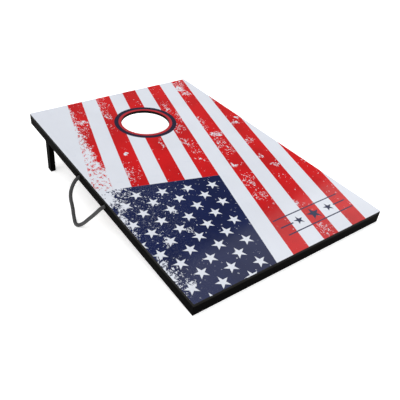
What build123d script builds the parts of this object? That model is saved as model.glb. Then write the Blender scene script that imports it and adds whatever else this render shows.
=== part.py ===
from build123d import *
import math
import os

# A cornhole board: a framed, inclined deck on two legs that fold one by one, with a rope handle on its
# left rail.
# The board is drawn lying flat: X across, Y from the near end to the raised far end, Z up from the rails'
# bottom faces. Each part is then inclined about X and set down with the whole board's bottom centre at
# the origin. Lengths are in millimetres.

# Deck and frame
BOARD_WIDTH = 609.6
BOARD_LENGTH = 914.4
PRINT_THICKNESS = 0.3
DECK_THICKNESS = 9.0
RAIL_HEIGHT = 27.7
RAIL_THICKNESS = 18.0
EDGE_RADIUS = 1.0

# Bag hole
HOLE_RADIUS = 78.0
HOLE_TO_FAR_EDGE = 219.0

# Folding legs
LEG_WIDTH = 25.0
LEG_THICKNESS = 17.0
LEG_TO_RAIL = 2.0
FOOT_Y = 826.0
FOOT_DROP = 146.0
PIVOT_Z = 14.0
DECK_CLEARANCE = 0.3

# Pivot hardware
SHOULDER_RADIUS = 4.0
SHOULDER_CLEARANCE = 0.05
THREAD_RADIUS = 3.0
THREAD_LENGTH = 10.0
INSERT_RADIUS = 5.0
INSERT_LENGTH = 12.0
WASHER_BORE_RADIUS = 4.2
SPACER_RADIUS = 9.0
SPACER_THICKNESS = 1.8
HEAD_WASHER_RADIUS = 8.5
HEAD_WASHER_THICKNESS = 1.2
HEAD_WASHER_GAP = 0.4
HEAD_RADIUS = 6.5
HEAD_HEIGHT = 5.0
SOCKET_RADIUS = 2.9
SOCKET_DEPTH = 2.5

# Stiffening
CORNER_BLOCK_SIZE = 32.0
BLOCK_HEIGHT = 23.7
BRACE_Y = 457.2
BRACE_THICKNESS = 18.0
BRACKET_LEG = 28.0
BRACKET_WIDTH = 16.0
BRACKET_THICKNESS = 2.0

# Wood screws
SCREW_RADIUS = 2.0
SCREW_HEAD_RADIUS = 4.0
SCREW_HEAD_DEPTH = 2.4
SCREW_TIP = 4.0
RECESS_WIDTH = 1.0
RECESS_DEPTH = 1.4
BLOCK_SCREW_LENGTH = 44.0
BRACKET_SCREW_LENGTH = 14.0

# Rope handle
ROPE_RADIUS = 5.0
ROPE_HOLE_RADIUS = 6.35
ROPE_HOLE_MOUTH = 4.0
ROPE_HOLE_Y = (397.0, 550.0)
ROPE_HOLE_Z = 14.0
KNOT_RADIUS = 13.0
KNOT_LENGTH = 24.0
KNOT_ROUNDING = 7.0
TAIL_LENGTH = 14.0

# Dimensions that follow from these
HALF_WIDTH = BOARD_WIDTH / 2
RAIL_INNER_X = HALF_WIDTH - RAIL_THICKNESS
DECK_TOP = RAIL_HEIGHT + DECK_THICKNESS
BOARD_HEIGHT = DECK_TOP + PRINT_THICKNESS
HOLE_Y = BOARD_LENGTH - HOLE_TO_FAR_EDGE
LEG_OUTER_X = RAIL_INNER_X - LEG_TO_RAIL
LEG_INNER_X = LEG_OUTER_X - LEG_THICKNESS
PIVOT_Y = FOOT_Y + LEG_WIDTH / 2
BLOCK_BOTTOM = RAIL_HEIGHT - BLOCK_HEIGHT

# The near bottom edge and the feet's near edges stand on the ground, and both have the same rounding.
INCLINE = math.atan2(FOOT_DROP, FOOT_Y)
SINE = math.sin(INCLINE)
COSINE = math.cos(INCLINE)
ROUNDING_RISE = EDGE_RADIUS * (SINE + COSINE - 1)
CENTRE_Y = (BOARD_LENGTH * COSINE - ROUNDING_RISE - BOARD_HEIGHT * SINE) / 2
SET_DOWN = Pos(0, -CENTRE_Y, -ROUNDING_RISE) * Rot(math.degrees(INCLINE), 0, 0)


def block(x_span, y_span, z_span):
    """A box between the two limits given along each axis."""
    spans = (x_span, y_span, z_span)
    size = [high - low for low, high in spans]
    middle = [(low + high) / 2 for low, high in spans]
    return Pos(*middle) * Box(*size)


def rod(radius, x_start, x_end, y, z):
    """A cylinder along X."""
    middle = Pos((x_start + x_end) / 2, y, z)
    return middle * Rot(0, 90, 0) * Cylinder(radius, abs(x_end - x_start))


def ring(outer, inner, x_start, x_end, y, z):
    """A washer whose axis is along X."""
    return rod(outer, x_start, x_end, y, z) - rod(inner, x_start, x_end, y, z)


def other_side(part):
    """The mirror image on the right-hand side of the board."""
    return mirror(part, about=Plane.YZ)


def screw_blank(length):
    """A countersunk wood screw without its drive, pointing down -Z with its head's top at the origin."""
    outline = Polyline(
        (0, 0),
        (SCREW_HEAD_RADIUS, 0),
        (SCREW_RADIUS, -SCREW_HEAD_DEPTH),
        (SCREW_RADIUS, SCREW_TIP - length),
        (0, -length),
        close=True,
    )
    return revolve(Plane.XZ * make_face(outline), Axis.Z)


def screw(length):
    """The same screw with a cross recess."""
    arm = 1.3 * SCREW_RADIUS
    recess = block((-arm, arm), (-RECESS_WIDTH / 2, RECESS_WIDTH / 2), (-RECESS_DEPTH, 1))
    return screw_blank(length) - recess - Rot(0, 0, 90) * recess


# Where each kind of screw goes: its head's place and the turn that points it into the wood.
TOWARDS_LEFT = Rot(0, 90, 0)
TOWARDS_NEAR = Rot(-90, 0, 0)
TOWARDS_FAR = Rot(90, 0, 0)


def corner_screw_places():
    """Each corner block has one screw into the side rail and one into the end rail."""
    block_reach = RAIL_THICKNESS + CORNER_BLOCK_SIZE
    middle = RAIL_THICKNESS + CORNER_BLOCK_SIZE / 2
    side_z = BLOCK_BOTTOM + 0.3 * BLOCK_HEIGHT
    end_z = BLOCK_BOTTOM + 0.7 * BLOCK_HEIGHT
    left = []
    for near in (True, False):
        side_y = middle if near else BOARD_LENGTH - middle
        end_y = block_reach if near else BOARD_LENGTH - block_reach
        end_turn = TOWARDS_NEAR if near else TOWARDS_FAR
        left.append(Pos(block_reach - HALF_WIDTH, side_y, side_z) * TOWARDS_LEFT)
        left.append(Pos(middle - HALF_WIDTH, end_y, end_z) * end_turn)
    return left


def bracket_screw_places():
    """Each bracket has one screw into the side rail and one into the brace."""
    near_face = BRACE_Y - BRACE_THICKNESS / 2
    bracket_z = BLOCK_BOTTOM + BLOCK_HEIGHT / 2
    reach = 0.6 * BRACKET_LEG
    return [
        Pos(BRACKET_THICKNESS - RAIL_INNER_X, near_face - reach, bracket_z) * TOWARDS_LEFT,
        Pos(reach - RAIL_INNER_X, near_face - BRACKET_THICKNESS, bracket_z) * TOWARDS_FAR,
    ]


def screws_at(places, length):
    """The screws at these places on the left and, mirrored, on the right, as one group of solids."""
    left = [place * screw(length) for place in places]
    right = [other_side(one) for one in left]
    return Compound(children=left + right)


def with_screw_holes(part, places, length):
    """A part with the hole that each screw on its own side fills."""
    for place in places:
        part -= place * screw_blank(length)
    return part


def with_holes_both_sides(part, places, length):
    """A part that crosses the board, with the screw holes on its left side and their mirror images."""
    part = with_screw_holes(part, places, length)
    return other_side(with_screw_holes(other_side(part), places, length))


def deck_plate(bottom, top):
    """A layer of the deck, with the bag hole through it."""
    plate = block((-HALF_WIDTH, HALF_WIDTH), (0, BOARD_LENGTH), (bottom, top))
    hole = Pos(0, HOLE_Y, (bottom + top) / 2) * Cylinder(HOLE_RADIUS, 3 * (top - bottom))
    return plate - hole


def end_rail():
    """The near rail: mitred at both ends, with its bottom edges rounded and its screw holes."""
    outline = Polyline(
        (-HALF_WIDTH, 0),
        (HALF_WIDTH, 0),
        (RAIL_INNER_X, RAIL_THICKNESS),
        (-RAIL_INNER_X, RAIL_THICKNESS),
        close=True,
    )
    rail = extrude(make_face(outline), RAIL_HEIGHT)
    bottom_edges = rail.edges().group_by(Axis.Z)[0].filter_by(Axis.X)
    rail = fillet(bottom_edges, EDGE_RADIUS)
    return with_holes_both_sides(rail, corner_screw_places(), BLOCK_SCREW_LENGTH)


def side_rail():
    """The left rail: mitred at both ends, with its bottom edges rounded and its hardware's holes."""
    outline = Polyline(
        (-HALF_WIDTH, 0),
        (-RAIL_INNER_X, RAIL_THICKNESS),
        (-RAIL_INNER_X, BOARD_LENGTH - RAIL_THICKNESS),
        (-HALF_WIDTH, BOARD_LENGTH),
        close=True,
    )
    rail = extrude(make_face(outline), RAIL_HEIGHT)
    bottom_edges = rail.edges().group_by(Axis.Z)[0].filter_by(Axis.Y)
    rail = fillet(bottom_edges, EDGE_RADIUS)
    rail -= rod(INSERT_RADIUS, -RAIL_INNER_X, -RAIL_INNER_X - INSERT_LENGTH, PIVOT_Y, PIVOT_Z)
    rail = with_screw_holes(rail, corner_screw_places(), BLOCK_SCREW_LENGTH)
    return with_screw_holes(rail, bracket_screw_places(), BRACKET_SCREW_LENGTH)


def with_rope_holes(rail):
    """The left rail with its two rope holes, rounded over where the rope leaves them."""
    for y in ROPE_HOLE_Y:
        rail -= rod(ROPE_HOLE_RADIUS, -HALF_WIDTH, -RAIL_INNER_X, y, ROPE_HOLE_Z)
    outer_face = rail.faces().sort_by(Axis.X)[0]
    mouths = outer_face.edges().filter_by(GeomType.CIRCLE)
    return fillet(mouths, ROPE_HOLE_MOUTH)


def corner_block(near):
    """A glue block that fills a left-hand corner of the frame, under the deck."""
    low = RAIL_THICKNESS if near else BOARD_LENGTH - RAIL_THICKNESS - CORNER_BLOCK_SIZE
    body = block(
        (-RAIL_INNER_X, CORNER_BLOCK_SIZE - RAIL_INNER_X),
        (low, low + CORNER_BLOCK_SIZE),
        (BLOCK_BOTTOM, RAIL_HEIGHT),
    )
    inner_edge = body.edges().filter_by(Axis.Z).sort_by(Axis.X)[-2:]
    inner_edge = inner_edge.sort_by(Axis.Y)[-1 if near else 0]
    body = chamfer(inner_edge, 0.12 * CORNER_BLOCK_SIZE)
    return with_screw_holes(body, corner_screw_places(), BLOCK_SCREW_LENGTH)


def brace():
    """The bar across the frame under the middle of the deck."""
    body = block(
        (-RAIL_INNER_X, RAIL_INNER_X),
        (BRACE_Y - BRACE_THICKNESS / 2, BRACE_Y + BRACE_THICKNESS / 2),
        (BLOCK_BOTTOM, RAIL_HEIGHT),
    )
    bottom_edges = body.edges().group_by(Axis.Z)[0].filter_by(Axis.X)
    body = fillet(bottom_edges, EDGE_RADIUS)
    return with_holes_both_sides(body, bracket_screw_places(), BRACKET_SCREW_LENGTH)


def brace_bracket():
    """The left steel angle that ties the brace to the side rail."""
    near_face = BRACE_Y - BRACE_THICKNESS / 2
    middle_z = BLOCK_BOTTOM + BLOCK_HEIGHT / 2
    z_span = (middle_z - BRACKET_WIDTH / 2, middle_z + BRACKET_WIDTH / 2)
    rail_leaf = block(
        (-RAIL_INNER_X, BRACKET_THICKNESS - RAIL_INNER_X), (near_face - BRACKET_LEG, near_face), z_span
    )
    brace_leaf = block(
        (-RAIL_INNER_X, BRACKET_LEG - RAIL_INNER_X), (near_face - BRACKET_THICKNESS, near_face), z_span
    )
    angle = rail_leaf + brace_leaf
    inside = angle.edges().filter_by(Axis.Z).sort_by_distance(
        (BRACKET_THICKNESS - RAIL_INNER_X, near_face - BRACKET_THICKNESS, middle_z)
    )[0]
    angle = fillet(inside, BRACKET_THICKNESS)
    return with_screw_holes(angle, bracket_screw_places(), BRACKET_SCREW_LENGTH)


def leg():
    """The left leg: its top is rounded on the near side, so that it folds, and square on the far side,
    where it stops against the deck."""
    top = RAIL_HEIGHT - DECK_CLEARANCE
    turning_radius = top - PIVOT_Z
    half = LEG_WIDTH / 2
    near_y = PIVOT_Y - half
    far_y = PIVOT_Y + half
    arc_end_z = PIVOT_Z + math.sqrt(turning_radius**2 - half**2)
    arc_angle = math.radians(90) + math.asin(half / turning_radius) / 2
    arc_middle = (
        PIVOT_Y + turning_radius * math.cos(arc_angle),
        PIVOT_Z + turning_radius * math.sin(arc_angle),
    )
    outline = Curve() + [
        Line((near_y, arc_end_z), (near_y, -FOOT_DROP)),
        Line((near_y, -FOOT_DROP), (far_y, -FOOT_DROP)),
        Line((far_y, -FOOT_DROP), (far_y, top)),
        Line((far_y, top), (PIVOT_Y, top)),
        ThreePointArc((PIVOT_Y, top), arc_middle, (near_y, arc_end_z)),
    ]
    body = Pos(-LEG_OUTER_X, 0, 0) * extrude(Plane.YZ * make_face(outline), LEG_THICKNESS)
    long_edges = body.edges().filter_by(Axis.Z)
    foot_edges = body.edges().group_by(Axis.Z)[0]
    body = fillet(long_edges + foot_edges, EDGE_RADIUS)
    return body - rod(SHOULDER_RADIUS + SHOULDER_CLEARANCE, -LEG_OUTER_X, -LEG_INNER_X, PIVOT_Y, PIVOT_Z)


def threaded_insert():
    """The insert in the left rail that takes the pivot bolt."""
    return ring(INSERT_RADIUS, THREAD_RADIUS, -RAIL_INNER_X, -RAIL_INNER_X - INSERT_LENGTH, PIVOT_Y, PIVOT_Z)


def head_washer_start():
    """Where the washer under the left bolt's head begins, just clear of the leg's inner face."""
    return HEAD_WASHER_GAP - LEG_INNER_X


def pivot_bolt():
    """The shoulder bolt that the left leg turns on, driven into its insert from inside the frame."""
    head_start = head_washer_start() + HEAD_WASHER_THICKNESS
    head_end = head_start + HEAD_HEIGHT
    thread = rod(THREAD_RADIUS, -RAIL_INNER_X - THREAD_LENGTH, -RAIL_INNER_X, PIVOT_Y, PIVOT_Z)
    shoulder = rod(SHOULDER_RADIUS, -RAIL_INNER_X, head_start, PIVOT_Y, PIVOT_Z)
    head = rod(HEAD_RADIUS, head_start, head_end, PIVOT_Y, PIVOT_Z)
    head = fillet(head.edges().sort_by(Axis.X)[-1], EDGE_RADIUS)
    mouth = Plane(origin=(head_end, PIVOT_Y, PIVOT_Z), x_dir=(0, 1, 0), z_dir=(1, 0, 0))
    socket = extrude(mouth * RegularPolygon(SOCKET_RADIUS, 6), -SOCKET_DEPTH)
    return thread + shoulder + head - socket


def spacer_washer():
    """The nylon washer between the left rail and leg."""
    start = -RAIL_INNER_X
    return ring(SPACER_RADIUS, WASHER_BORE_RADIUS, start, start + SPACER_THICKNESS, PIVOT_Y, PIVOT_Z)


def head_washer():
    """The steel washer under the left bolt's head."""
    start = head_washer_start()
    end = start + HEAD_WASHER_THICKNESS
    return ring(HEAD_WASHER_RADIUS, WASHER_BORE_RADIUS, start, end, PIVOT_Y, PIVOT_Z)


def rope_knot(y):
    """A stopper knot against the left rail's inner face, with its tail."""
    start = -RAIL_INNER_X
    knob = rod(KNOT_RADIUS, start, start + KNOT_LENGTH, y, ROPE_HOLE_Z)
    knob = fillet(knob.edges().filter_by(GeomType.CIRCLE), KNOT_ROUNDING)
    tail_end = start + KNOT_LENGTH + TAIL_LENGTH
    return knob + rod(ROPE_RADIUS, start + KNOT_LENGTH / 2, tail_end, y, ROPE_HOLE_Z)


def hole_axis_point(x, y):
    """A point on a rope hole's axis once the board is set down."""
    height = y * SINE + ROPE_HOLE_Z * COSINE - ROUNDING_RISE
    return (x, y * COSINE - ROPE_HOLE_Z * SINE - CENTRE_Y, height)


def rope_route():
    """The rope's route on the standing board: out of the far hole, down to a fold on the ground, and
    straight back up into the near hole."""
    return [
        hole_axis_point(-RAIL_INNER_X, ROPE_HOLE_Y[1]),
        hole_axis_point(-313, ROPE_HOLE_Y[1]),
        (-333, 87, 89),
        (-341, 81, 60),
        (-346, 69, 36),
        (-352, 51, 14),
        (-358, 24, 5.5),
        (-347, 5, 14),
        (-334, -15, 36),
        (-321, -40, 60),
        hole_axis_point(-311, ROPE_HOLE_Y[0]),
        hole_axis_point(-RAIL_INNER_X, ROPE_HOLE_Y[0]),
    ]


def rope():
    """The rope as straight runs joined by the largest arcs that they allow."""
    points = [Vector(*point) for point in rope_route()]
    runs = [end - start for start, end in zip(points, points[1:])]
    radii = []
    for before, after in zip(runs, runs[1:]):
        half_turn = math.radians(before.get_angle(after)) / 2
        radii.append(0.45 * min(before.length, after.length) / math.tan(half_turn))
    path = FilletPolyline(*points, radius=radii)
    start = Plane(origin=points[0], z_dir=runs[0])
    tube = sweep(start * Circle(ROPE_RADIUS), path=path)
    section = math.pi * ROPE_RADIUS**2
    print("rope runs", [round(run.length, 1) for run in runs])
    print("rope radii", [round(radius, 1) for radius in radii])
    print("rope length", round(path.length, 1))
    print("rope volume over section x length", round(tube.volume / (section * path.length), 4))
    return tube


def board_parts():
    """Every part but the rope, by name, on the board as drawn flat."""
    near_rail = end_rail()
    parts = {
        "deck_panel": deck_plate(RAIL_HEIGHT, DECK_TOP),
        "deck_print": deck_plate(DECK_TOP, BOARD_HEIGHT),
        "front_rail": near_rail,
        "rear_rail": mirror(near_rail, about=Plane.XZ.offset(-BOARD_LENGTH / 2)),
        "left_rail": with_rope_holes(side_rail()),
        "right_rail": other_side(side_rail()),
        "centre_brace": brace(),
        "near_rope_knot": rope_knot(ROPE_HOLE_Y[0]),
        "far_rope_knot": rope_knot(ROPE_HOLE_Y[1]),
        "corner_block_screws": screws_at(corner_screw_places(), BLOCK_SCREW_LENGTH),
        "bracket_screws": screws_at(bracket_screw_places(), BRACKET_SCREW_LENGTH),
    }
    left_hand = {
        "front_{}_corner_block": corner_block(near=True),
        "rear_{}_corner_block": corner_block(near=False),
        "{}_brace_bracket": brace_bracket(),
        "{}_leg": leg(),
        "{}_threaded_insert": threaded_insert(),
        "{}_pivot_bolt": pivot_bolt(),
        "{}_spacer_washer": spacer_washer(),
        "{}_head_washer": head_washer(),
    }
    for name, part in left_hand.items():
        parts[name.format("left")] = part
        parts[name.format("right")] = other_side(part)
    return parts


os.makedirs("parts", exist_ok=True)
for node, shape in board_parts().items():
    export_step(SET_DOWN * shape, f"parts/{node}.step")
export_step(rope(), "parts/handle_rope.step")
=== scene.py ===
import math

import bpy
import numpy as np
from mathutils import Matrix, Vector


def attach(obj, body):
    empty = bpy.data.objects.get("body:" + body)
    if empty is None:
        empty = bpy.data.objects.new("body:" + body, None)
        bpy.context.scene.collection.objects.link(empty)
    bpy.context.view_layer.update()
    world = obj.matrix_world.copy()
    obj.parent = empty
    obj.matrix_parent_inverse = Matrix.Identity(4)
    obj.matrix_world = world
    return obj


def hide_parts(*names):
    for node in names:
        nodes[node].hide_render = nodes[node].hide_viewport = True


# A cornhole board on two folding legs, with a printed deck and a rope handle.
# Lengths are in metres, in the row frame. The print is laid out on the flat board: X across it and Y from
# its near end to its raised far end, with the deck's surface facing +Z.

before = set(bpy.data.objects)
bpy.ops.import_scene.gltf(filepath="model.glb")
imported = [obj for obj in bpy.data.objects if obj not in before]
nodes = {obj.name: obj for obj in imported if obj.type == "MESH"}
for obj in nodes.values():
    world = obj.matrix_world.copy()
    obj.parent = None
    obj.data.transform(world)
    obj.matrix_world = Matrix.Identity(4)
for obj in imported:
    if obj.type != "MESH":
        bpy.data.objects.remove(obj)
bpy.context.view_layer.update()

# The board, as it lies flat
BOARD_LENGTH = 0.9144
BOARD_HEIGHT = 0.037
EDGE_RADIUS = 0.001
INCLINE = math.atan2(0.146, 0.826)
HOLE_Y = 0.6954

SINE = math.sin(INCLINE)
COSINE = math.cos(INCLINE)
ROUNDING_RISE = EDGE_RADIUS * (SINE + COSINE - 1)
CENTRE_Y = (BOARD_LENGTH * COSINE - ROUNDING_RISE - BOARD_HEIGHT * SINE) / 2
SET_DOWN = Matrix.Translation((0, -CENTRE_Y, -ROUNDING_RISE)) @ Matrix.Rotation(INCLINE, 4, "X")


# ---------------------------------------------------------------- camera

CAMERA_PLACE = (-0.749, -1.084, 0.724)
CAMERA_AZIMUTH = 33.27
CAMERA_DIP = 27.90
CAMERA_ROLL = -2.09
CAMERA_LENS = 44.23
CAMERA_SHIFT = (0.0575, -0.04)


def make_camera():
    data = bpy.data.cameras.new("camera")
    data.lens = CAMERA_LENS
    data.sensor_width = 36
    data.shift_x, data.shift_y = CAMERA_SHIFT
    data.clip_start = 0.05
    data.clip_end = 50
    camera = bpy.data.objects.new("camera", data)
    bpy.context.scene.collection.objects.link(camera)
    turn = Matrix.Rotation(math.radians(-CAMERA_AZIMUTH), 4, "Z")
    tip = Matrix.Rotation(math.radians(90 - CAMERA_DIP), 4, "X")
    roll = Matrix.Rotation(math.radians(CAMERA_ROLL), 4, "Z")
    camera.matrix_world = Matrix.Translation(CAMERA_PLACE) @ turn @ tip @ roll
    bpy.context.scene.camera = camera


# ---------------------------------------------------------------- rope handle: its line

ROUTE_RESOLUTION = 12
ROPE_ROUTE = [
    (-0.2868, 0.0923, 0.1094),
    (-0.3095, 0.0923, 0.1092),
    (-0.3325, 0.0870, 0.0842),
    (-0.3418, 0.0810, 0.0600),
    (-0.3432, 0.0690, 0.0360),
    (-0.3505, 0.0510, 0.0140),
    (-0.3585, 0.0225, 0.0035),
    (-0.3470, 0.0050, 0.0115),
    (-0.3335, -0.0155, 0.0345),
    (-0.3210, -0.0400, 0.0600),
    (-0.3110, -0.0584, 0.0827),
    (-0.2868, -0.0584, 0.0827),
]


def line_points(route):
    """The points of the smooth line that a route's points control."""
    data = bpy.data.curves.new("route", "CURVE")
    data.dimensions = "3D"
    data.resolution_u = ROUTE_RESOLUTION
    spline = data.splines.new("NURBS")
    spline.points.add(len(route) - 1)
    for point, place in zip(spline.points, route):
        point.co = (*place, 1)
    spline.order_u = 3
    spline.use_endpoint_u = True
    holder = bpy.data.objects.new("route", data)
    mesh = bpy.data.meshes.new_from_object(holder)
    points = np.array([vertex.co for vertex in mesh.vertices])
    bpy.data.objects.remove(holder)
    bpy.data.curves.remove(data)
    bpy.data.meshes.remove(mesh)
    return points


def evenly_spaced(points, step):
    """The same line with its points a step apart."""
    lengths = np.linalg.norm(np.diff(points, axis=0), axis=1)
    along = np.concatenate([[0], np.cumsum(lengths)])
    count = max(2, int(round(along[-1] / step)) + 1)
    places = np.linspace(0, along[-1], count)
    return np.stack([np.interp(places, along, points[:, axis]) for axis in range(3)], axis=1)


def frames_along(points):
    """For each point of a line, its tangent and two sideways directions that don't twist."""
    tangents = np.gradient(points, axis=0)
    tangents /= np.linalg.norm(tangents, axis=1)[:, None]
    side = np.cross(tangents[0], (0, 0, 1))
    if np.linalg.norm(side) < 0.1:
        side = np.cross(tangents[0], (0, 1, 0))
    sides = []
    for tangent in tangents:
        side = side - tangent * np.dot(side, tangent)
        side /= np.linalg.norm(side)
        sides.append(side)
    sides = np.array(sides)
    return tangents, sides, np.cross(tangents, sides)


def new_mesh(name, vertices, faces, smooth=True):
    mesh = bpy.data.meshes.new(name)
    mesh.from_pydata([tuple(v) for v in vertices], [], faces)
    if smooth:
        mesh.shade_smooth()
    piece = bpy.data.objects.new(name, mesh)
    bpy.context.scene.collection.objects.link(piece)
    return piece


def tube_faces(rings, around, first=0):
    """Quads between the rings of a tube, and a cap at each end."""
    faces = []
    for ring in range(rings - 1):
        for k in range(around):
            a = first + ring * around + k
            b = first + ring * around + (k + 1) % around
            faces.append((a, b, b + around, a + around))
    faces.append(tuple(reversed(range(first, first + around))))
    last = first + (rings - 1) * around
    faces.append(tuple(range(last, last + around)))
    return faces


# A hollow braid of flat yarns over a core: eight carriers each way, passing over and under in turn.
CARRIERS = 8
BRAID_PITCH = 0.034
BRAID_RADIUS = 0.0045
BRAID_WAVE = 0.00032
YARN_HALF_WIDTH = 0.00165
YARN_HALF_THICKNESS = 0.00062
CORE_RADIUS = 0.0045
YARN_SIDES = 8
CORE_SIDES = 16
BRAID_STEP = 0.0011


def braided_rope(name, points, thickness=1.0):
    """A braided rope along a line, with its yarns as separate tubes in one mesh."""
    points = evenly_spaced(points, BRAID_STEP)
    tangents, sides, ups = frames_along(points)
    along = np.arange(len(points)) * np.linalg.norm(points[1] - points[0])
    vertices = []
    faces = []

    def ring_tube(centres, first_axis, second_axis, half_first, half_second, around):
        angles = np.arange(around) * 2 * math.pi / around
        faces.extend(tube_faces(len(centres), around, first=sum(len(v) for v in vertices)))
        ring = (
            centres[:, None, :]
            + np.cos(angles)[None, :, None] * half_first * first_axis[:, None, :]
            + np.sin(angles)[None, :, None] * half_second * second_axis[:, None, :]
        )
        vertices.append(ring.reshape(-1, 3))

    core = CORE_RADIUS * thickness
    ring_tube(points, sides, ups, core, core, CORE_SIDES)
    wave = np.cos(2 * math.pi * CARRIERS * along / BRAID_PITCH)
    for direction in (1, -1):
        for carrier in range(CARRIERS):
            start = 2 * math.pi * (carrier + 0.25) / CARRIERS
            angle = start + direction * 2 * math.pi * along / BRAID_PITCH
            outward = np.cos(angle)[:, None] * sides + np.sin(angle)[:, None] * ups
            radius = (BRAID_RADIUS + direction * BRAID_WAVE * wave) * thickness
            centres = points + radius[:, None] * outward
            run = np.gradient(centres, axis=0)
            run /= np.linalg.norm(run, axis=1)[:, None]
            across = np.cross(run, outward)
            half_width = YARN_HALF_WIDTH * thickness
            half_thickness = YARN_HALF_THICKNESS * thickness
            ring_tube(centres, across, outward, half_width, half_thickness, YARN_SIDES)
    return new_mesh(name, np.concatenate(vertices), faces), points


# ---------------------------------------------------------------- shader graphs


class Signal:
    """A value or vector in a shader graph, with arithmetic."""

    def __init__(self, graph, socket):
        self.graph = graph
        self.socket = socket

    def __add__(self, other):
        return self.graph.maths("ADD", self, other)

    def __sub__(self, other):
        return self.graph.maths("SUBTRACT", self, other)

    def __mul__(self, other):
        return self.graph.maths("MULTIPLY", self, other)

    def __truediv__(self, other):
        return self.graph.maths("DIVIDE", self, other)

    def __rsub__(self, other):
        return self.graph.maths("SUBTRACT", other, self)


class Graph:
    """A material's shader graph, built from short expressions."""

    def __init__(self, name):
        self.material = bpy.data.materials.new(name)
        self.material.use_nodes = True
        self.tree = self.material.node_tree
        self.shader = self.tree.nodes["Principled BSDF"]
        self.place = Signal(self, self.tree.nodes.new("ShaderNodeTexCoord").outputs["Object"])

    def connect(self, target, value):
        if isinstance(value, Signal):
            self.tree.links.new(value.socket, target)
        elif isinstance(value, (tuple, list)) and len(value) == 3 and target.type == "RGBA":
            target.default_value = (*value, 1)
        else:
            target.default_value = value

    def node(self, kind, output, settings=None, **inputs):
        made = self.tree.nodes.new("ShaderNode" + kind)
        for name, value in (settings or {}).items():
            setattr(made, name, value)
        for name, value in inputs.items():
            self.connect(made.inputs[name.replace("_", " ")], value)
        return Signal(self, made.outputs[output])

    def maths(self, operation, *values, clamp=False):
        made = self.tree.nodes.new("ShaderNodeMath")
        made.operation = operation
        made.use_clamp = clamp
        for socket, value in zip(made.inputs, values):
            self.connect(socket, value)
        return Signal(self, made.outputs["Value"])

    def biggest(self, first, second):
        return self.maths("MAXIMUM", first, second)

    def smallest(self, first, second):
        return self.maths("MINIMUM", first, second)

    def ramp(self, value, start, end, low=0.0, high=1.0):
        """low before start, high after end, and a smooth change between them."""
        return self.node(
            "MapRange",
            "Result",
            {"interpolation_type": "SMOOTHSTEP"},
            Value=value,
            From_Min=start,
            From_Max=end,
            To_Min=low,
            To_Max=high,
        )

    def mix(self, share, first, second):
        made = self.tree.nodes.new("ShaderNodeMix")
        made.data_type = "RGBA"
        self.connect(made.inputs[0], share)
        self.connect(made.inputs[6], first)
        self.connect(made.inputs[7], second)
        return Signal(self, made.outputs[2])

    def moved(self, vector, location=(0, 0, 0), rotation=(0, 0, 0), scale=(1, 1, 1)):
        return self.node(
            "Mapping", "Vector", Vector=vector, Location=location, Rotation=rotation, Scale=scale
        )

    def parts(self, vector):
        made = self.tree.nodes.new("ShaderNodeSeparateXYZ")
        self.connect(made.inputs[0], vector)
        return [Signal(self, socket) for socket in made.outputs]

    def joined(self, x, y, z=0.0):
        return self.node("CombineXYZ", "Vector", X=x, Y=y, Z=z)

    def length(self, vector):
        return self.node("VectorMath", "Value", {"operation": "LENGTH"}, Vector=vector)

    def noise(self, vector, scale, detail=2.0, roughness=0.5):
        return self.node(
            "TexNoise", "Fac", Vector=vector, Scale=scale, Detail=detail, Roughness=roughness
        )

    def cell_colour(self, vector, scale):
        """A random colour in each cell of a Voronoi pattern."""
        return self.node("TexVoronoi", "Color", Vector=vector, Scale=scale)

    def bump(self, height, distance, strength=1.0, normal=None):
        made = self.tree.nodes.new("ShaderNodeBump")
        made.inputs["Strength"].default_value = strength
        made.inputs["Distance"].default_value = distance
        self.connect(made.inputs["Height"], height)
        if normal is not None:
            self.connect(made.inputs["Normal"], normal)
        return Signal(self, made.outputs["Normal"])

    def rounded_edges(self, radius):
        return self.node("Bevel", "Normal", {"samples": 6}, Radius=radius)

    def flat(self):
        """The place on the board as it lies flat."""
        back = SET_DOWN.inverted()
        return self.moved(self.place, location=back.to_translation(), rotation=back.to_euler())

    def set(self, **inputs):
        for name, value in inputs.items():
            self.connect(self.shader.inputs[name.replace("_", " ")], value)


def linear(red, green, blue):
    """A colour given as 0 to 255 on a screen."""
    shares = [value / 255 for value in (red, green, blue)]
    return tuple(s / 12.92 if s <= 0.04045 else ((s + 0.055) / 1.055) ** 2.4 for s in shares)


# ---------------------------------------------------------------- the printed deck

# The flag is turned so that its stripes lean to the right. U runs along them and V across them, and both
# start at the canton's inner corner.
FLAG_TURN = math.radians(16.1)
CANTON_CORNER = (0.0265, 0.3392)
STRIPE = 0.0504
CANTON_HEIGHT = 7 * STRIPE
FLAG_BOTTOM = -6 * STRIPE
STAR_RADIUS = 0.0188
STAR_STEP_U = 0.0751
STAR_STEP_V = 0.0713
FIRST_STAR_U = -0.0384
RING_MIDDLE = 0.0872
RING_OUTER = 0.1008
RING_SOFTNESS = 0.0004

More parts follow.
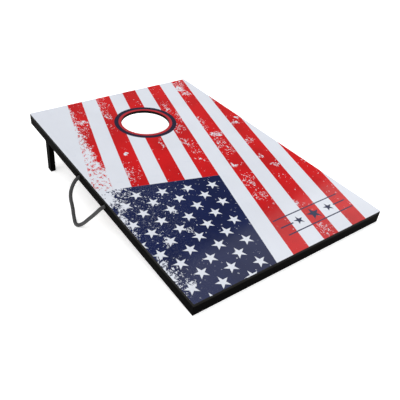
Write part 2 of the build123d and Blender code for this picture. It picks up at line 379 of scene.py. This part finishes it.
# Where the print is worn: the middle on the flat board, half the length along the stripes, half the width
# across them, and how badly.
WORN_PATCHES = [
    # the first stripe, worse towards the canton
    (-0.195, 0.835, 0.060, 0.012, 0.55),
    (-0.150, 0.850, 0.060, 0.020, 0.06),
    (-0.195, 0.786, 0.016, 0.040, 0.85),
    (-0.224, 0.745, 0.050, 0.015, 1.60),
    (-0.195, 0.735, 0.045, 0.018, 0.22),
    (-0.238, 0.685, 0.060, 0.020, 1.50),
    (-0.253, 0.605, 0.070, 0.024, 1.45),
    (-0.266, 0.545, 0.045, 0.030, 1.40),
    (-0.262, 0.480, 0.050, 0.080, 1.40),
    (-0.290, 0.440, 0.040, 0.070, 1.50),
    # the second stripe, at the far end and above the canton
    (-0.070, 0.860, 0.070, 0.022, 0.16),
    (-0.087, 0.840, 0.070, 0.010, 0.40),
    (-0.092, 0.780, 0.022, 0.020, 0.45),
    (-0.118, 0.715, 0.040, 0.014, 0.14),
    (-0.150, 0.558, 0.008, 0.006, 2.00),
    (-0.185, 0.470, 0.060, 0.034, 0.12),
    # the third stripe
    (-0.026, 0.550, 0.030, 0.006, 0.60),
    # the fourth stripe, beside the hole and below it
    (0.114, 0.745, 0.050, 0.014, 0.45),
    (0.122, 0.665, 0.050, 0.020, 0.40),
    (0.074, 0.610, 0.040, 0.026, 0.18),
    (0.042, 0.535, 0.022, 0.018, 0.50),
    (0.030, 0.430, 0.009, 0.006, 2.00),
    (0.040, 0.470, 0.070, 0.030, 0.08),
    # the fifth stripe
    (0.262, 0.890, 0.030, 0.026, 0.36),
    (0.240, 0.852, 0.022, 0.018, 1.30),
    (0.240, 0.808, 0.020, 0.022, 0.80),
    (0.160, 0.605, 0.050, 0.014, 0.40),
    (0.160, 0.524, 0.016, 0.022, 0.90),
    (0.140, 0.475, 0.036, 0.020, 0.34),
    (0.142, 0.432, 0.024, 0.016, 0.30),
    (0.096, 0.352, 0.012, 0.015, 0.85),
    (0.086, 0.275, 0.045, 0.022, 0.26),
    (0.066, 0.212, 0.022, 0.026, 0.34),
    # the sixth stripe
    (0.302, 0.740, 0.030, 0.014, 0.50),
    (0.292, 0.582, 0.014, 0.014, 1.00),
    (0.260, 0.558, 0.012, 0.018, 0.90),
    (0.232, 0.445, 0.024, 0.018, 0.42),
    (0.197, 0.358, 0.014, 0.012, 0.50),
    (0.208, 0.303, 0.010, 0.014, 0.60),
    (0.186, 0.250, 0.016, 0.014, 0.20),
    (0.126, 0.134, 0.018, 0.012, 0.60),
    (0.118, 0.028, 0.026, 0.018, 0.45),
    # the canton, along its left side
    (-0.304, 0.400, 0.045, 0.034, 1.80),
    (-0.285, 0.395, 0.055, 0.034, 0.45),
    (-0.240, 0.398, 0.040, 0.022, 0.22),
    (-0.303, 0.300, 0.080, 0.012, 0.90),
    (-0.283, 0.350, 0.040, 0.020, 0.40),
    (-0.298, 0.248, 0.040, 0.012, 0.45),
    (-0.250, 0.185, 0.030, 0.014, 0.34),
    (-0.172, 0.262, 0.012, 0.012, 0.80),
    (-0.180, 0.192, 0.012, 0.010, 0.50),
    (-0.303, 0.110, 0.060, 0.011, 0.80),
    (-0.293, 0.070, 0.055, 0.018, 0.40),
    (-0.278, 0.050, 0.020, 0.012, 0.60),
    (-0.225, 0.300, 0.130, 0.050, 0.05),
]
BASE_WEAR = 0.008

PAPER = linear(222, 226, 235)
RED = linear(206, 15, 20)
NAVY = linear(12, 24, 66)
RING_RED = linear(178, 40, 48)
RING_NAVY = linear(30, 24, 50)


def in_flag_frame(x, y):
    """Along the stripes and across them, from a place on the flat board."""
    x = x - CANTON_CORNER[0]
    y = y - CANTON_CORNER[1]
    along = x * math.sin(FLAG_TURN) + y * math.cos(FLAG_TURN)
    across = y * math.sin(FLAG_TURN) - x * math.cos(FLAG_TURN)
    return along, across


def flag_axes(graph, flat):
    """The place along the stripes and across them."""
    x, y, _ = graph.parts(flat)
    return in_flag_frame(x, y)


def inside(graph, value, low, high, softness=0.0003):
    """One where a value is between two limits."""
    return graph.ramp(value, low - softness, low + softness) * graph.ramp(
        value, high - softness, high + softness, 1.0, 0.0
    )


def star_grid(graph, along, across, first_along, first_across):
    """One inside five-pointed stars on a grid, each with a tip pointing across the stripes."""
    from_along = graph.maths("PINGPONG", along - first_along, STAR_STEP_U / 2)
    shifted = (across - first_across) / STAR_STEP_V + 0.5
    from_across = (graph.maths("FRACT", shifted) - 0.5) * STAR_STEP_V
    return star(graph, from_along, from_across, STAR_RADIUS)


def star(graph, sideways, upwards, radius):
    """One inside a five-pointed star whose tip points upwards."""
    tip_step = 2 * math.pi / 5
    angle = graph.maths("ARCTAN2", sideways, upwards)
    from_tip = graph.maths("PINGPONG", angle, tip_step / 2)
    reach = graph.maths("SQRT", sideways * sideways + upwards * upwards)
    edge = reach * graph.maths("COSINE", from_tip - tip_step)
    return graph.ramp(edge / radius, 0.29, 0.33, 1.0, 0.0)


def wear(graph, along, across):
    """One where the print is worn through to the paper, in flakes of two sizes with ragged outlines."""
    amount = BASE_WEAR
    middle = graph.joined(along, across)
    bent_along = graph.noise(middle, 55.0, detail=2.0) - 0.5
    elsewhere = graph.moved(middle, location=(7.3, 2.9, 0.0))
    bent_across = graph.noise(elsewhere, 55.0, detail=2.0) - 0.5
    bent = graph.joined(along + bent_along * 0.050, across + bent_across * 0.036)
    for x, y, half_length, half_width, strength in WORN_PATCHES:
        patch_along, patch_across = in_flag_frame(x, y)
        scale = (1 / half_length, 1 / half_width, 1)
        location = (-patch_along / half_length, -patch_across / half_width, 0)
        reach = graph.length(graph.moved(bent, location=location, scale=scale))
        amount = graph.biggest(amount, graph.ramp(reach, 0.4, 1.2, strength, 0.0))
    uneven = graph.noise(middle, 85.0, detail=3.0, roughness=0.6)
    amount = amount * graph.ramp(uneven, 0.36, 0.64, 0.55, 1.35)
    ragged_along = graph.noise(middle, 310.0, detail=2.0, roughness=0.6)
    elsewhere = graph.moved(middle, location=(3.1, 1.7, 0.0))
    ragged_across = graph.noise(elsewhere, 310.0, detail=2.0, roughness=0.6)
    ragged = graph.joined(along + (ragged_along - 0.5) * 0.010, across + (ragged_across - 0.5) * 0.010)
    # Light wear is mostly small flakes, and heavy wear large ones that leave islands of ink.
    large_share = amount * amount * 0.42
    small_share = graph.smallest(amount * 0.56, 0.36)
    gone = 0.0
    for flakes_per_metre, share in ((205.0, large_share), (430.0, small_share)):
        chance, _, _ = graph.parts(graph.cell_colour(ragged, flakes_per_metre))
        gone = graph.biggest(graph.ramp(share - chance, -0.004, 0.004), gone)
    return gone


ORNAMENT_MIDDLE = (0.138, 0.083)


def ornament(graph, flat):
    """Three small stars between two thin lines, near the deck's right-hand corner."""
    x, y, _ = graph.parts(flat)
    x = x - ORNAMENT_MIDDLE[0]
    y = y - ORNAMENT_MIDDLE[1]
    stars = 0.0
    for place, radius in ((-0.054, 0.0155), (0.0, 0.0225), (0.054, 0.0155)):
        stars = star(graph, x - place, y, radius) + stars
    rules = 0.0
    for height in (-0.029, 0.029):
        rule = inside(graph, y, height - 0.0018, height + 0.0018)
        rules = rule * inside(graph, x, -0.118, 0.118) + rules
    side_rules = 0.0
    for side in (-0.096, 0.096):
        bar = inside(graph, x, side - 0.022, side + 0.022) * inside(graph, y, -0.0020, 0.0020)
        side_rules = bar + side_rules
    return graph.maths("ADD", graph.biggest(stars, rules), side_rules, clamp=True)


def printed_deck():
    graph = Graph("printed_laminate")
    flat = graph.flat()
    along, across = flag_axes(graph, flat)

    # Ragged outlines, by moving the place that the flag is read at
    rough = graph.noise(flat, 260.0, detail=3.0, roughness=0.6)
    along = along + (rough - 0.5) * 0.0012
    across = across + (rough - 0.5) * 0.0014

    stripe_share = graph.maths("FRACT", across / (2 * STRIPE))
    softness = 0.004
    in_stripe = graph.ramp(stripe_share, 0.0, softness) * graph.ramp(
        stripe_share, 0.5 - softness, 0.5 + softness, 1.0, 0.0
    )
    in_flag = inside(graph, across, FLAG_BOTTOM, CANTON_HEIGHT)
    in_canton = inside(graph, across, 0.0, CANTON_HEIGHT) * graph.ramp(along, -0.0004, 0.0004, 1.0, 0.0)
    red = in_stripe * in_flag * (1.0 - in_canton)

    odd_rows = star_grid(graph, along, across, FIRST_STAR_U, STAR_STEP_V / 2)
    even_rows = star_grid(graph, along, across, FIRST_STAR_U - STAR_STEP_U / 2, 0.0)
    even_rows = even_rows * inside(graph, across, 0.7 * STAR_STEP_V, 4.3 * STAR_STEP_V)
    even_rows = even_rows * graph.ramp(along, -0.048, -0.046, 1.0, 0.0)
    stars = graph.biggest(odd_rows, even_rows)

    gone = wear(graph, along, across)
    # The canton's left side is faded in fine mottling, where it isn't worn right through.
    mottling = graph.ramp(graph.noise(flat, 330.0, detail=3.0, roughness=0.65), 0.50, 0.68)
    faded_along = graph.ramp(along, -0.27, -0.12, 0.25, 1.0)
    faded = mottling * faded_along * graph.ramp(across, 0.09, 0.24, 0.0, 0.42)
    navy = in_canton * (1.0 - stars) * (1.0 - gone) * (1.0 - faded * 0.45)
    red = red * (1.0 - gone)

    # Colours, each with a slow drift of its own
    drift = graph.noise(flat, 9.0, detail=3.0)
    grain = graph.noise(flat, 900.0, detail=1.0)
    paper = graph.mix(graph.ramp(drift, 0.35, 0.65), PAPER, tuple(0.965 * c for c in PAPER))
    deep_red = tuple(0.80 * c for c in RED)
    red_ink = graph.mix(graph.ramp(drift * 0.7 + grain * 0.3, 0.40, 0.62), RED, deep_red)
    navy_ink = graph.mix(graph.ramp(drift, 0.35, 0.65), NAVY, tuple(1.25 * c for c in NAVY))
    smudge = graph.ramp(graph.noise(flat, 46.0, detail=4.0, roughness=0.7), 0.60, 0.72)
    paper = graph.mix(smudge * 0.20, paper, linear(196, 203, 219))

    colour = graph.mix(red, paper, red_ink)
    colour = graph.mix(navy, colour, navy_ink)
    colour = graph.mix(ornament(graph, flat), colour, NAVY)

    x, y, _ = graph.parts(flat)
    from_hole = graph.length(graph.joined(x, y - HOLE_Y))
    reach = from_hole + (rough - 0.5) * 0.0010
    in_navy = graph.ramp(reach, RING_MIDDLE - RING_SOFTNESS, RING_MIDDLE + RING_SOFTNESS)
    ring_ink = graph.mix(in_navy, RING_RED, RING_NAVY)
    in_ring = graph.ramp(reach, RING_OUTER - RING_SOFTNESS, RING_OUTER + RING_SOFTNESS, 1.0, 0.0)
    colour = graph.mix(in_ring, colour, ring_ink)

    # A film with a faint orange peel, scuffed a little where bags land
    peel = graph.noise(flat, 420.0, detail=2.0, roughness=0.4)
    scuffs = graph.noise(graph.moved(flat, scale=(1.0, 0.18, 1.0)), 120.0, detail=5.0, roughness=0.7)
    roughness = graph.ramp(scuffs, 0.35, 0.75, 0.10, 0.17)
    normal = graph.bump(peel, 0.00002, strength=0.3)
    graph.set(Base_Color=colour, Roughness=roughness, Normal=normal)
    graph.set(Specular_IOR_Level=0.20)
    return graph.material


# ---------------------------------------------------------------- wood, metal, nylon and rope


def along_grain(axis, stretch):
    """The scale that draws a pattern out along one axis."""
    return tuple(stretch if letter == axis else 1.0 for letter in "XYZ")


def black_paint(name, grain_axis):
    """Satin black paint on wood, with its grain along one axis of the flat board."""
    graph = Graph(name)
    flat = graph.flat()
    grain = graph.moved(flat, scale=along_grain(grain_axis, 0.035))
    fibres = graph.noise(grain, 900.0, detail=5.0, roughness=0.62)
    pores = graph.ramp(fibres, 0.58, 0.68)
    roller = graph.noise(flat, 650.0, detail=3.0, roughness=0.55)
    drift = graph.noise(flat, 22.0, detail=3.0)
    colour = graph.mix(graph.ramp(drift, 0.35, 0.65), (0.0016, 0.0015, 0.0014), (0.0028, 0.0027, 0.0026))
    colour = graph.mix(pores * 0.5, colour, (0.0010, 0.0010, 0.0009))
    dust = graph.ramp(graph.noise(flat, 240.0, detail=6.0, roughness=0.75), 0.66, 0.74)
    colour = graph.mix(dust * 0.30, colour, (0.014, 0.013, 0.012))
    roughness = graph.ramp(drift * 0.6 + roller * 0.4, 0.38, 0.62, 0.42, 0.56)
    height = roller * 0.45 - pores * 0.8 + fibres * 0.5
    normal = graph.bump(height, 0.00016, strength=0.5, normal=graph.rounded_edges(0.0009))
    graph.set(Base_Color=colour, Roughness=roughness, Normal=normal)
    graph.set(Specular_IOR_Level=0.004)
    return graph.material


def painted_fibreboard():
    """Black paint on fibreboard: no grain, and a fuzzy cut edge round the hole."""
    graph = Graph("painted_fibreboard")
    flat = graph.flat()
    fuzz = graph.noise(flat, 1500.0, detail=4.0, roughness=0.7)
    drift = graph.noise(flat, 14.0, detail=4.0)
    colour = graph.mix(graph.ramp(drift, 0.4, 0.62), (0.0030, 0.0026, 0.0024), (0.0060, 0.0052, 0.0046))
    chips = graph.ramp(graph.noise(flat, 170.0, detail=6.0, roughness=0.72), 0.70, 0.73)
    colour = graph.mix(chips * 0.5, colour, (0.060, 0.038, 0.024))
    normal = graph.bump(fuzz, 0.00012, strength=0.6)
    graph.set(Base_Color=colour, Roughness=graph.ramp(fuzz, 0.3, 0.7, 0.52, 0.72), Normal=normal)
    graph.set(Specular_IOR_Level=0.06)
    return graph.material


def bare_pine(name, grain_axis):
    """Planed pine with growth rings, fine fibres and a few dark pores."""
    graph = Graph(name)
    flat = graph.flat()
    grain = graph.moved(flat, scale=along_grain(grain_axis, 0.05))
    wander = graph.noise(grain, 26.0, detail=2.0) * 0.030
    a, b, c = graph.parts(grain)
    across = b + c * 0.6 if grain_axis == "X" else a + b * 0.6
    rings = graph.maths("FRACT", (across + wander) * 210.0)
    late_wood = graph.ramp(rings, 0.35, 0.95) * graph.ramp(rings, 0.95, 1.0, 1.0, 0.0)
    fibres = graph.noise(grain, 1400.0, detail=4.0, roughness=0.65)
    colour = graph.mix(late_wood * 0.75, linear(222, 190, 142), linear(178, 128, 76))
    colour = graph.mix(graph.ramp(fibres, 0.45, 0.75) * 0.45, colour, linear(150, 106, 66))
    height = late_wood * 0.5 + fibres * 0.6
    normal = graph.bump(height, 0.00022, strength=0.5, normal=graph.rounded_edges(0.0008))
    graph.set(Base_Color=colour, Roughness=graph.ramp(fibres, 0.3, 0.7, 0.55, 0.72), Normal=normal)
    graph.set(Specular_IOR_Level=0.35)
    return graph.material


def zinc_steel():
    graph = Graph("zinc_steel")
    spangle = graph.cell_colour(graph.place, 620.0)
    red, _, _ = graph.parts(spangle)
    brushed = graph.noise(graph.moved(graph.place, scale=(1.0, 0.06, 1.0)), 2600.0, detail=3.0)
    colour = graph.mix(red, (0.48, 0.50, 0.52), (0.62, 0.63, 0.62))
    normal = graph.bump(brushed, 0.00004, strength=0.5, normal=graph.rounded_edges(0.0003))
    graph.set(Base_Color=colour, Roughness=graph.ramp(brushed, 0.3, 0.7, 0.26, 0.42), Normal=normal)
    graph.set(Metallic=1.0)
    return graph.material


def turned_brass():
    graph = Graph("brass")
    turned = graph.noise(graph.moved(graph.place, scale=(1.0, 0.1, 0.1)), 3800.0, detail=2.0)
    tarnish = graph.noise(graph.place, 240.0, detail=4.0)
    colour = graph.mix(graph.ramp(tarnish, 0.45, 0.7), (0.72, 0.50, 0.20), (0.42, 0.29, 0.13))
    normal = graph.bump(turned, 0.00004, strength=0.5)
    graph.set(Base_Color=colour, Roughness=graph.ramp(tarnish, 0.35, 0.7, 0.24, 0.46), Normal=normal)
    graph.set(Metallic=1.0)
    return graph.material


def white_nylon():
    graph = Graph("white_nylon")
    cloud = graph.noise(graph.place, 260.0, detail=3.0)
    mould = graph.noise(graph.place, 2400.0, detail=2.0)
    colour = graph.mix(graph.ramp(cloud, 0.35, 0.65), linear(232, 229, 220), linear(216, 211, 198))
    normal = graph.bump(mould, 0.00005, strength=0.4, normal=graph.rounded_edges(0.0003))
    graph.set(Base_Color=colour, Roughness=graph.ramp(mould, 0.3, 0.7, 0.36, 0.48), Normal=normal)
    graph.set(Subsurface_Weight=0.15, Subsurface_Radius=(0.002, 0.002, 0.0018), Subsurface_Scale=0.5)
    return graph.material


def grey_rope():
    """Dark grey polypropylene yarn: fine filaments, with a soft sheen."""
    graph = Graph("grey_rope")
    stretched = graph.moved(graph.place, scale=(1.0, 1.0, 0.35))
    filaments = graph.noise(stretched, 3200.0, detail=3.0, roughness=0.6)
    drift = graph.noise(graph.place, 60.0, detail=3.0)
    colour = graph.mix(graph.ramp(filaments, 0.35, 0.68), (0.024, 0.024, 0.025), (0.056, 0.056, 0.058))
    colour = graph.mix(graph.ramp(drift, 0.4, 0.65) * 0.4, colour, (0.066, 0.066, 0.068))
    normal = graph.bump(filaments, 0.00012, strength=0.7)
    graph.set(Base_Color=colour, Roughness=graph.ramp(filaments, 0.3, 0.7, 0.46, 0.62), Normal=normal)
    graph.set(Specular_IOR_Level=0.35)
    graph.set(Sheen_Weight=0.12, Sheen_Roughness=0.4, Sheen_Tint=(0.8, 0.8, 0.82, 1.0))
    return graph.material


def paint(material, *names):
    for name in names:
        slots = nodes[name].data.materials
        slots.clear()
        slots.append(material)


def dress_cad_nodes():
    paint(printed_deck(), "deck_print")
    paint(painted_fibreboard(), "deck_panel")
    paint(black_paint("black_paint_across", "X"), "front_rail", "rear_rail")
    paint(black_paint("black_paint_along", "Y"), "left_rail", "right_rail")
    paint(black_paint("black_paint_upright", "Z"), "left_leg", "right_leg")
    blocks = [f"{end}_{side}_corner_block" for end in ("front", "rear") for side in ("left", "right")]
    paint(bare_pine("pine_block", "Z"), *blocks)
    paint(bare_pine("pine_brace", "X"), "centre_brace")
    steel = ["corner_block_screws", "bracket_screws"]
    for side in ("left", "right"):
        steel += [f"{side}_brace_bracket", f"{side}_pivot_bolt", f"{side}_head_washer"]
    paint(zinc_steel(), *steel)
    paint(turned_brass(), "left_threaded_insert", "right_threaded_insert")
    paint(white_nylon(), "left_spacer_washer", "right_spacer_washer")


# ---------------------------------------------------------------- rope handle: its pieces

# Behind its hole, each end is tied in a stopper knot of almost one and a half turns about the hole's axis.
KNOT_THICKNESS = 0.88
KNOT_WRAP_RADIUS = 0.0090
KNOT_FIRST_ANGLE = math.radians(40)
KNOT_LAST_ANGLE = math.radians(540)
KNOT_WRAP_STEPS = 11
KNOT_WRAP_STARTS = 0.0185
KNOT_WRAP_ENDS = 0.0055
KNOT_INTO = [(0, 0, 0), (0.003, -0.001, 0), (0.006, -0.0034, 0), (0.012, -0.0034, 0), (0.018, -0.0034, 0)]
KNOT_OVER = (0.0205, -0.0045, 0.0015)
KNOT_OUT = [
    (0.0045, 0.0075, -0.0045),
    (0.0040, 0.0042, -0.0042),
    (0.0065, 0.0034, -0.0010),
    (0.011, 0.0034, 0),
    (0.017, 0.0020, -0.0005),
    (0.024, 0, -0.0010),
    (0.038, 0.0004, -0.0018),
]


def knot_route(start, turn):
    """In through the hole, back over itself towards the rail, and out through the middle as a short tail."""
    local = KNOT_INTO + [KNOT_OVER]
    for step in range(KNOT_WRAP_STEPS + 1):
        share = step / KNOT_WRAP_STEPS
        angle = KNOT_FIRST_ANGLE + share * (KNOT_LAST_ANGLE - KNOT_FIRST_ANGLE)
        inwards = KNOT_WRAP_STARTS + share * (KNOT_WRAP_ENDS - KNOT_WRAP_STARTS)
        local.append((inwards, -KNOT_WRAP_RADIUS * math.cos(angle), KNOT_WRAP_RADIUS * math.sin(angle)))
    place = Matrix.Translation(start) @ Matrix.Rotation(math.radians(turn), 4, "X")
    return [tuple(place @ Vector(point)) for point in local + KNOT_OUT]


def make_knot(name, stands_for, start, turn, material):
    knot, _ = braided_rope(name, line_points(knot_route(start, turn)), thickness=KNOT_THICKNESS)
    dress_rope(knot, stands_for, material)
    return knot


def dress_rope(piece, stands_for, material):
    piece.data.materials.append(material)
    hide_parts(stands_for)
    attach(piece, "board")


def make_handle(material):
    rope, path = braided_rope("handle_rope_braid", line_points(ROPE_ROUTE))
    dress_rope(rope, "handle_rope", material)
    far_knot = make_knot("far_stopper_knot", "far_rope_knot", ROPE_ROUTE[0], 25, material)
    near_knot = make_knot("near_stopper_knot", "near_rope_knot", ROPE_ROUTE[-1], 160, material)


# ---------------------------------------------------------------- floor and light

FLOOR_HALF_SIZE = 20.0
FLOOR_BELOW_FEET = 0.0005
# The gloss light shows as a soft sheen across the deck's near end.
GLOSS_PLACE = (1.18, 0.17, 1.58)
GLOSS_TARGET = (0.03, -0.20, -0.03)
GLOSS_EDGE = (0.82, -0.19, -0.54)


def add_area(name, place, target, size, power, edge):
    """A soft box that faces a target, with its first side as near as can be to the direction of edge."""
    data = bpy.data.lights.new(name, "AREA")
    data.shape = "RECTANGLE"
    data.size, data.size_y = size
    data.energy = power
    light = bpy.data.objects.new(name, data)
    bpy.context.scene.collection.objects.link(light)
    back = (Vector(place) - Vector(target)).normalized()
    across = Vector(edge) - Vector(edge).dot(back) * back
    across.normalize()
    turn = Matrix((across, back.cross(across), back)).transposed().to_4x4()
    light.matrix_world = Matrix.Translation(place) @ turn


def add_sun(name, place, strength, angle):
    """An even, soft light from the direction of a place, seen from the origin."""
    data = bpy.data.lights.new(name, "SUN")
    data.energy = strength
    data.angle = angle
    light = bpy.data.objects.new(name, data)
    bpy.context.scene.collection.objects.link(light)
    light.matrix_world = Vector(place).to_track_quat("Z", "Y").to_matrix().to_4x4()


def make_studio():
    graph = Graph("studio_floor")
    drift = graph.noise(graph.place, 1.5, detail=2.0)
    colour = graph.mix(graph.ramp(drift, 0.3, 0.7), (0.93, 0.93, 0.93), (0.91, 0.91, 0.91))
    graph.set(Base_Color=colour, Roughness=0.9, Emission_Color=(1, 1, 1), Emission_Strength=0.50)
    graph.set(Specular_IOR_Level=0.0)
    half = FLOOR_HALF_SIZE
    corners = [(-half, -half, 0), (half, -half, 0), (half, half, 0), (-half, half, 0)]
    floor = new_mesh("floor", corners, [(0, 1, 2, 3)], smooth=False)
    floor.location.z = -FLOOR_BELOW_FEET
    floor.data.materials.append(graph.material)

    world = bpy.data.worlds.new("studio")
    bpy.context.scene.world = world
    world.use_nodes = True
    # A white backdrop that lights the scene more faintly than it shows
    background = world.node_tree.nodes["Background"]
    background.inputs["Color"].default_value = (1.0, 1.0, 1.0, 1.0)
    seen = world.node_tree.nodes.new("ShaderNodeLightPath").outputs["Is Camera Ray"]
    strength = world.node_tree.nodes.new("ShaderNodeMapRange")
    strength.inputs["To Min"].default_value = 0.30
    strength.inputs["To Max"].default_value = 1.0
    world.node_tree.links.new(seen, strength.inputs["Value"])
    world.node_tree.links.new(strength.outputs["Result"], background.inputs["Strength"])

    add_sun("key_light", (-1.5, -1.0, 2.8), 1.85, math.radians(70))
    add_sun("back_light", (-0.9, 2.2, 2.2), 0.4, math.radians(50))
    add_area("gloss_light", GLOSS_PLACE, GLOSS_TARGET, (2.8, 0.62), 8.8, GLOSS_EDGE)


def set_colour_management():
    settings = bpy.context.scene.view_settings
    settings.view_transform = "Standard"
    settings.look = "None"
    settings.exposure = 0.0
    settings.gamma = 1.0


make_camera()
make_handle(grey_rope())
dress_cad_nodes()
make_studio()
set_colour_management()
